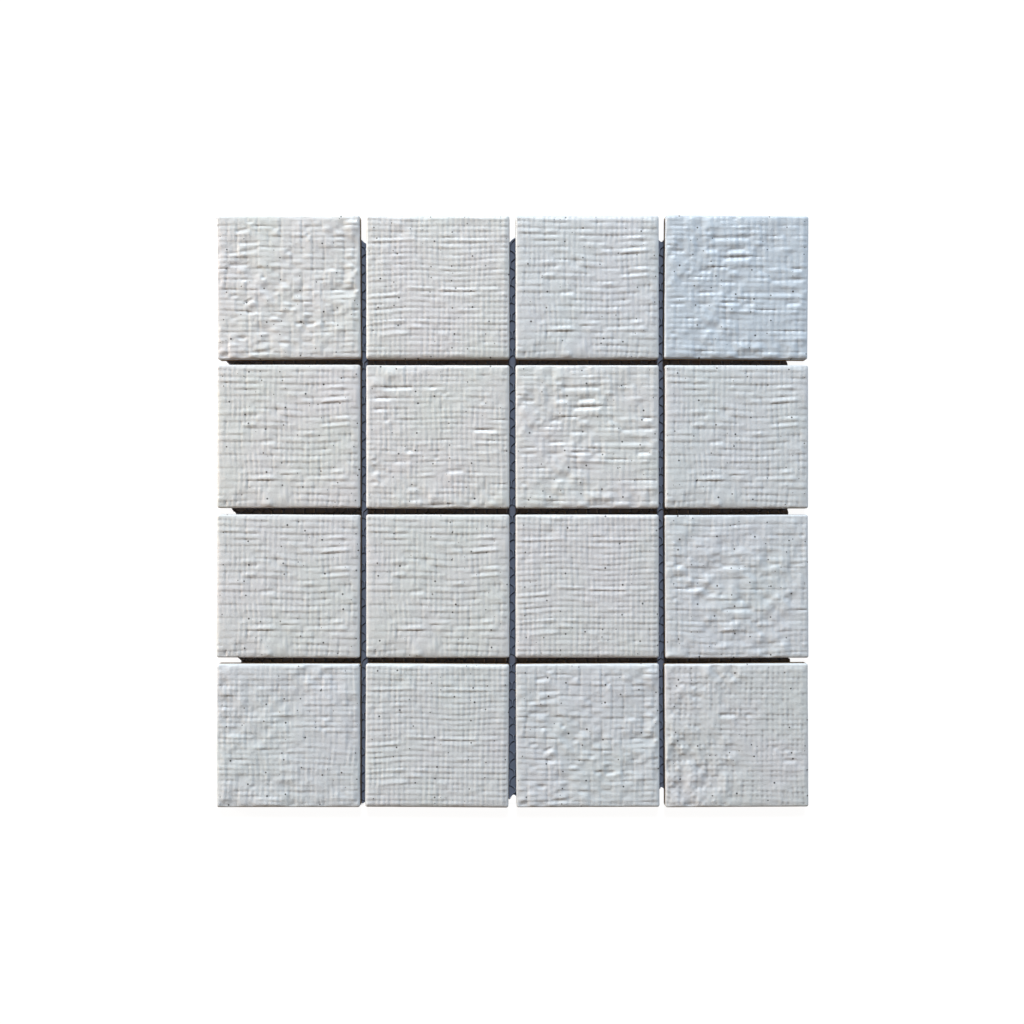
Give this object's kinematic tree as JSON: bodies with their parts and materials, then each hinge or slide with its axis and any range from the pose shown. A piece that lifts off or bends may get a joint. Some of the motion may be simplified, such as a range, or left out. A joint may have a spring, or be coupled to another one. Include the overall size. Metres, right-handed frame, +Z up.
{
  "type": "mosaic tile sheet",
  "caption": "Square sheet of glazed square mosaic tiles with a woven-linen relief, spaced by narrow joints and held together by an open backing net.",
  "frame": {"origin": "middle of the sheet's footprint, on the surface that its net lies on", "axes": "+Z up, out of the glazed faces; +X to the right along a row of tiles; +Y towards the first row"},
  "size_m": [0.3014, 0.3016, 0.0065],
  "materials": {
    "glazed_tile": "satin off-white glaze with fine dark specks",
    "net": "slate-blue polyester strands"
  },
  "bodies": {
    "root": {"tile_r1_c1": "glazed_tile", "tile_r1_c2": "glazed_tile", "tile_r1_c3": "glazed_tile", "tile_r1_c4": "glazed_tile", "tile_r2_c1": "glazed_tile", "tile_r2_c2": "glazed_tile", "tile_r2_c3": "glazed_tile", "tile_r2_c4": "glazed_tile", "tile_r3_c1": "glazed_tile", "tile_r3_c2": "glazed_tile", "tile_r3_c3": "glazed_tile", "tile_r3_c4": "glazed_tile", "tile_r4_c1": "glazed_tile", "tile_r4_c2": "glazed_tile", "tile_r4_c3": "glazed_tile", "tile_r4_c4": "glazed_tile", "net_strands_rising": "net", "net_strands_falling": "net"}
  },
  "joints": []
}
